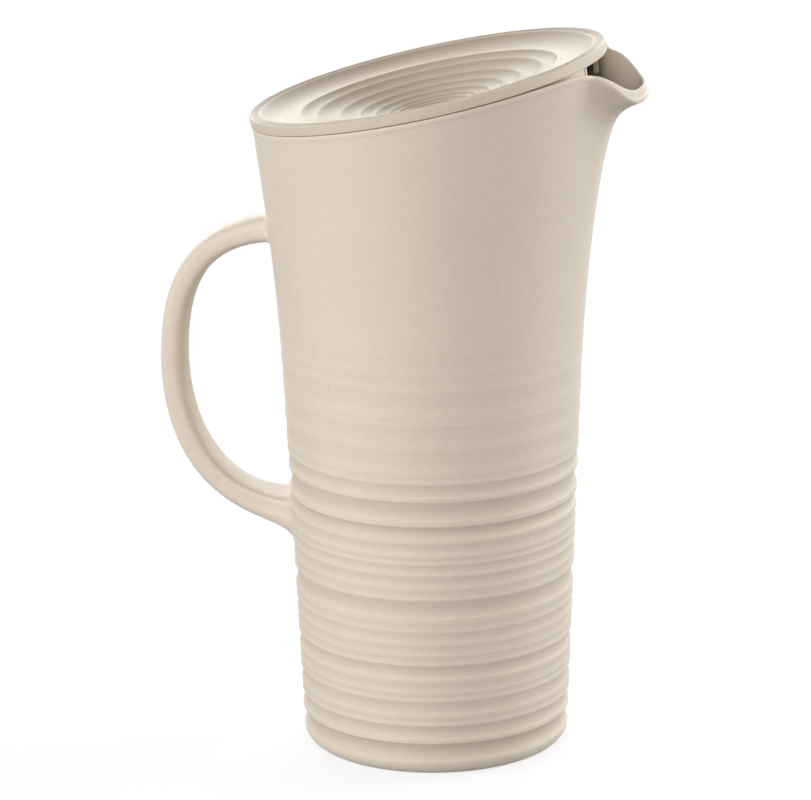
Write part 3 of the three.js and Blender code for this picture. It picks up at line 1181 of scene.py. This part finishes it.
@dataclass(frozen=True)
class LidSkirt:
    """The ring under the cover, open where the jug pours, with a post and a slit on each side."""

    seat: LidSeat
    wall: WallForm
    finish: MattePlastic
    play: float = 0.84
    thickness: float = 2.0
    depth: float = 10.8
    draft: float = 1.2
    opening_width: float = 29.5
    post_width: float = 1.4
    slit_width: float = 1.0
    slit_depth: float = 7.0
    front_stops: tuple[float, ...] = (0.35, 0.7, 1)
    columns: int = 224
    front_angle: float = math.radians(17)
    edge_rounding: float = 0.22
    edge_segments: int = 2
    sharp_angle: float = math.radians(35)

    @cached_property
    def radius(self) -> float:
        """Radius of the skirt that fits the mouth at its back, sides and front.

        Returns:
            The smallest of the three.
        """
        fits = []
        for place in (-1, 0, 1):
            rise = place * math.sin(self.seat.tilt)
            height = self.seat.centre[2] + self.seat.radius * rise
            height -= self.seat.rim_drop * math.cos(self.seat.tilt)
            lean = self.seat.skirt_drop * math.sin(self.seat.tilt)
            shift = -self.seat.centre[0] - lean
            inner = float(self.wall.radius(height)) - self.wall.wall_thickness - self.play
            fits.append((inner + place * shift) / math.sqrt(1 - rise**2))
        return min(fits)

    def shell(self) -> Shell:
        """Builds the skirt from cells, leaving out those of the opening and the slits.

        Returns:
            The closed ring, in the lid's own frame.
        """
        half = self.opening_width / 2
        post = half + self.post_width
        slit = post + self.slit_width
        front = np.array([half * stop for stop in self.front_stops] + [post, slit, slit + self.slit_width])
        across = np.concatenate([-front[::-1], [0.0], front])
        back = np.linspace(self.front_angle, FULL_TURN - self.front_angle, self.columns)

        top = -self.seat.skirt_drop
        under_seal = top - self.seat.seal_thickness
        slit_levels = (under_seal, under_seal - self.slit_depth / 2, under_seal - self.slit_depth)
        heights = np.array([top, *slit_levels, top - self.depth])
        drawn = self.radius - self.draft * (top - heights) / self.depth
        layers = []
        for radius in (drawn, drawn - self.thickness):
            along = np.sqrt(radius[:, None] ** 2 - across**2)
            levels = np.broadcast_to(heights[:, None], along.shape)
            fore = np.stack([along, np.broadcast_to(across, along.shape), levels], axis=-1)
            layers.append(np.concatenate([fore, polar(radius[:, None], back, heights[:, None])], axis=1))

        rows, columns = layers[0].shape[:2]
        present = np.ones((rows - 1, columns), bool)
        middle = (across[:-1] + across[1:]) / 2
        in_opening = np.abs(middle) < half
        in_slit = (np.abs(middle) > post) & (np.abs(middle) < slit)
        present[1:, : len(middle)][:, in_opening] = False
        present[1:-1, : len(middle)][:, in_slit] = False
        return cell_shell(layers[0], layers[1], present)

    def build(self) -> bpy.types.Object:
        """Makes the piece, rounds its edges and puts it in the place of the plain skirt.

        Returns:
            The piece.
        """
        made = self.seat.placed(self.shell()).as_object("lid_skirt_ring", self.sharp_angle)
        rounding = made.modifiers.new("rounding", "BEVEL")
        rounding.width = self.edge_rounding * MM
        rounding.segments = self.edge_segments
        rounding.limit_method = "ANGLE"
        apply_modifiers(made)
        return dressed(made, self.finish, Body.LID, "lid_skirt")


def cell_shell(outer: np.ndarray, inner: np.ndarray, present: np.ndarray) -> Shell:
    """Makes a closed wall out of the present cells of two matching grids that close round.

    Args:
        outer: Outer points by row, column and axis, with the rows from the top down.
        inner: Inner points in the same order.
        present: Which cells there are, by row and column.

    Returns:
        The wall with its edges closed.
    """
    rows, columns = outer.shape[:2]
    points = np.vstack([outer.reshape(-1, 3), inner.reshape(-1, 3)])
    layer = rows * columns
    faces = []
    for row in range(rows - 1):
        for column in range(columns):
            if not present[row, column]:
                continue
            beside = (column + 1) % columns
            a, b = row * columns + column, row * columns + beside
            d, c = a + columns, b + columns
            faces.append((a, d, c, b))
            faces.append((a + layer, b + layer, c + layer, d + layer))
            if row == 0 or not present[row - 1, column]:
                faces.append((a, b, b + layer, a + layer))
            if row == rows - 2 or not present[row + 1, column]:
                faces.append((c, d, d + layer, c + layer))
            if not present[row, column - 1]:
                faces.append((d, a, a + layer, d + layer))
            if not present[row, beside]:
                faces.append((b, c, c + layer, b + layer))
    used = sorted({index for face in faces for index in face})
    renumbered = {old: new for new, old in enumerate(used)}
    return Shell(points[used], [tuple(renumbered[index] for index in face) for face in faces])


@dataclass(frozen=True)
class LidSeal:
    """The thin ring of silicone under the cover's rim, with a raised bead on each face."""

    seat: LidSeat
    finish: SoftSilicone
    inner_radius: float
    width: float = 1.6
    waist_share: float = 0.75
    columns: int = 224
    round_steps: int = 6

    @property
    def outer_radius(self) -> float:
        """Radius of the ring's outer edge."""
        return self.inner_radius + self.width

    def build(self) -> bpy.types.Object:
        """Makes the piece and puts it in the place of the plain seal.

        Returns:
            The piece.
        """
        half = self.seat.seal_thickness / 2
        middle = -self.seat.skirt_drop - half
        waist = lerp(self.inner_radius, self.outer_radius, 0.5)
        points = []
        for side, at in ((-1, self.outer_radius - half), (1, self.inner_radius + half)):
            points += arc((at, middle), half, side * QUARTER_TURN, self.round_steps, HALF_TURN)
            points.append((waist, middle - side * half * self.waist_share))
        made = self.seat.placed(turned(np.array(points), self.columns)).as_object("seal_ring")
        return dressed(made, self.finish, Body.SEAL, "lid_seal")


def apply_modifiers(made: bpy.types.Object) -> None:
    """Turns the object's modifiers into its mesh.

    Args:
        made: The object.
    """
    graph = bpy.context.evaluated_depsgraph_get()
    finished = bpy.data.meshes.new_from_object(made.evaluated_get(graph))
    made.modifiers.clear()
    made.data = finished


def dressed(
    made: bpy.types.Object,
    finish: Finish,
    body: Body,
    node: str,
) -> bpy.types.Object:
    """Gives a piece its material, its body and the node that it stands for.

    Args:
        made: The piece.
        finish: Its finish.
        body: The body that it moves with.
        node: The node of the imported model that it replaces.

    Returns:
        The piece.
    """
    material = bpy.data.materials.get(finish.name) or finish.material()
    made.data.materials.clear()
    made.data.materials.append(material)
    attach(made, body.value)
    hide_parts(node)
    low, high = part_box(node)
    size = [round((b - a) / MM, 1) for a, b in zip(low, high)]
    log.info("%s: %d points, stands for %s of %s mm", made.name, len(made.data.vertices), node, size)
    return made


# Stage


@dataclass(frozen=True)
class SoftSun:
    """A distant soft light, given by where it stands and how wide it looks."""

    name: str
    azimuth: float
    elevation: float
    strength: float
    spread: float
    colour: tuple[float, float, float] = (1.0, 1.0, 1.0)

    def build(self) -> bpy.types.Object:
        """Adds the light, shining at the origin from its azimuth and elevation.

        Returns:
            The light object.
        """
        lamp = bpy.data.lights.new(self.name, "SUN")
        lamp.energy = self.strength
        lamp.angle = math.radians(self.spread)
        lamp.color = self.colour
        turn, rise = math.radians(self.azimuth), math.radians(self.elevation)
        towards = Vector(polar(math.cos(rise), turn, math.sin(rise)))
        made = linked(self.name, lamp)
        made.rotation_euler = towards.to_track_quat("Z", "Y").to_euler()
        return made


@dataclass(frozen=True)
class PhotoCamera:
    """The camera at the photograph's distance, height, turn and framing."""

    distance: float = 1.9
    height: float = 0.674385
    turn: float = math.radians(9.73)
    pitch: float = 0.273102
    yaw: float = -0.005746
    roll: float = -0.013441
    focal_pixels: float = 4889.179
    frame_width: int = 811
    sensor_width: float = 36.0

    def build(self) -> bpy.types.Object:
        """Adds the camera and makes it the scene's own.

        Returns:
            The camera object.
        """
        place = Matrix.Rotation(self.turn, 3, "Z") @ Vector((0.0, -self.distance, self.height))
        turns = ((self.turn - self.yaw, "Z"), (QUARTER_TURN - self.pitch, "X"), (self.roll, "Z"))
        pan, tilt, roll = (Matrix.Rotation(angle, 4, axis) for angle, axis in turns)
        lens = bpy.data.cameras.new("photo_camera")
        lens.sensor_fit = "HORIZONTAL"
        lens.sensor_width = self.sensor_width
        lens.lens = self.focal_pixels / self.frame_width * self.sensor_width
        made = linked("photo_camera", lens)
        made.matrix_world = Matrix.Translation(place) @ pan @ tilt @ roll
        bpy.context.scene.camera = made
        return made


@dataclass(frozen=True)
class Studio:
    """The plain stage: a pale floor, a soft sky and soft lights."""

    floor: PaleFloor = PaleFloor()
    floor_radius: float = 6.0
    floor_corners: int = 96
    sky_strength: float = 0.08
    sky_colour: Colour = (1.0, 0.88, 0.82, 1.0)
    # Soft suns by azimuth, elevation, strength and spread: low ones on the right, at the back and on the
    # left, and a higher one in front.
    lights: tuple[SoftSun, ...] = (
        SoftSun("right_light", 26.0, 12.0, 2.85, 44.0),
        SoftSun("back_light", 84.0, 14.0, 1.9, 40.0),
        SoftSun("left_back_light", 118.0, 14.0, 1.4, 40.0),
        SoftSun("left_front_light", 211.0, 12.0, 1.8, 42.0, (0.99, 1.0, 1.0)),
        SoftSun("front_light", 270.0, 20.0, 1.72, 40.0, (1.0, 0.93, 0.94)),
    )

    def build(self) -> None:
        """Adds the floor, the sky, the lights and the camera."""
        corners = polar(self.floor_radius / MM, even_turns(self.floor_corners), 0.0)
        made = Shell(corners, [tuple(range(self.floor_corners))]).as_object("floor")
        made.data.materials.append(self.floor.material())

        world = bpy.data.worlds.new("sky")
        world.use_nodes = True
        graph = Graph(world.node_tree)
        seen = seen_directly(graph)
        strength = self.sky_strength + seen * (1 - self.sky_strength)
        colour = graph.mix(seen, self.sky_colour, WHITE)
        sky = graph.add("ShaderNodeBackground", inputs={"Color": colour, "Strength": strength})
        graph.add("ShaderNodeOutputWorld", inputs={"Surface": sky})
        bpy.context.scene.world = world
        for light in self.lights:
            light.build()
        PhotoCamera().build()
        bpy.context.scene.view_settings.view_transform = "Standard"


def main() -> None:
    """Builds the carafe and its stage, and reports each piece."""
    logging.basicConfig(level=logging.INFO, format="%(name)s: %(message)s")
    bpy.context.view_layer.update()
    seat = LidSeat.from_joint(frame["joints"])
    wall = WallForm(seat)
    # The jug's fourth colour is the painted shade of the hollows of its ribs and handle.
    jug_plastic = MattePlastic(
        "taupe_plastic",
        linear(224, 215, 199),
        linear(210, 200, 184),
        linear(194, 183, 168),
        linear(176, 162, 147),
        painted_shade_share=0.3,
    )
    # The lid is the jug's plastic made lighter as painted light on its dish; its fourth colour is the painted
    # shade of its bands, rim and edge.
    lid_plastic_painted_light = MattePlastic(
        "lid_plastic_painted_light",
        linear(229, 220, 202),
        linear(219, 209, 191),
        linear(203, 192, 175),
        linear(143, 130, 115),
        painted_shade_share=0.74,
    )
    silicone = SoftSilicone("seal_silicone", linear(160, 146, 132), linear(140, 127, 114))
    Jug(wall, jug_plastic).build()
    LoopHandle(wall, jug_plastic).build()
    skirt = LidSkirt(seat, wall, lid_plastic_painted_light)
    skirt.build()
    seal = LidSeal(seat, silicone, skirt.radius + seat.clearance)
    seal.build()
    LidCover(seat, lid_plastic_painted_light, seal.outer_radius + seat.clearance).build()
    Studio().build()


if __name__ == "__main__":
    main()
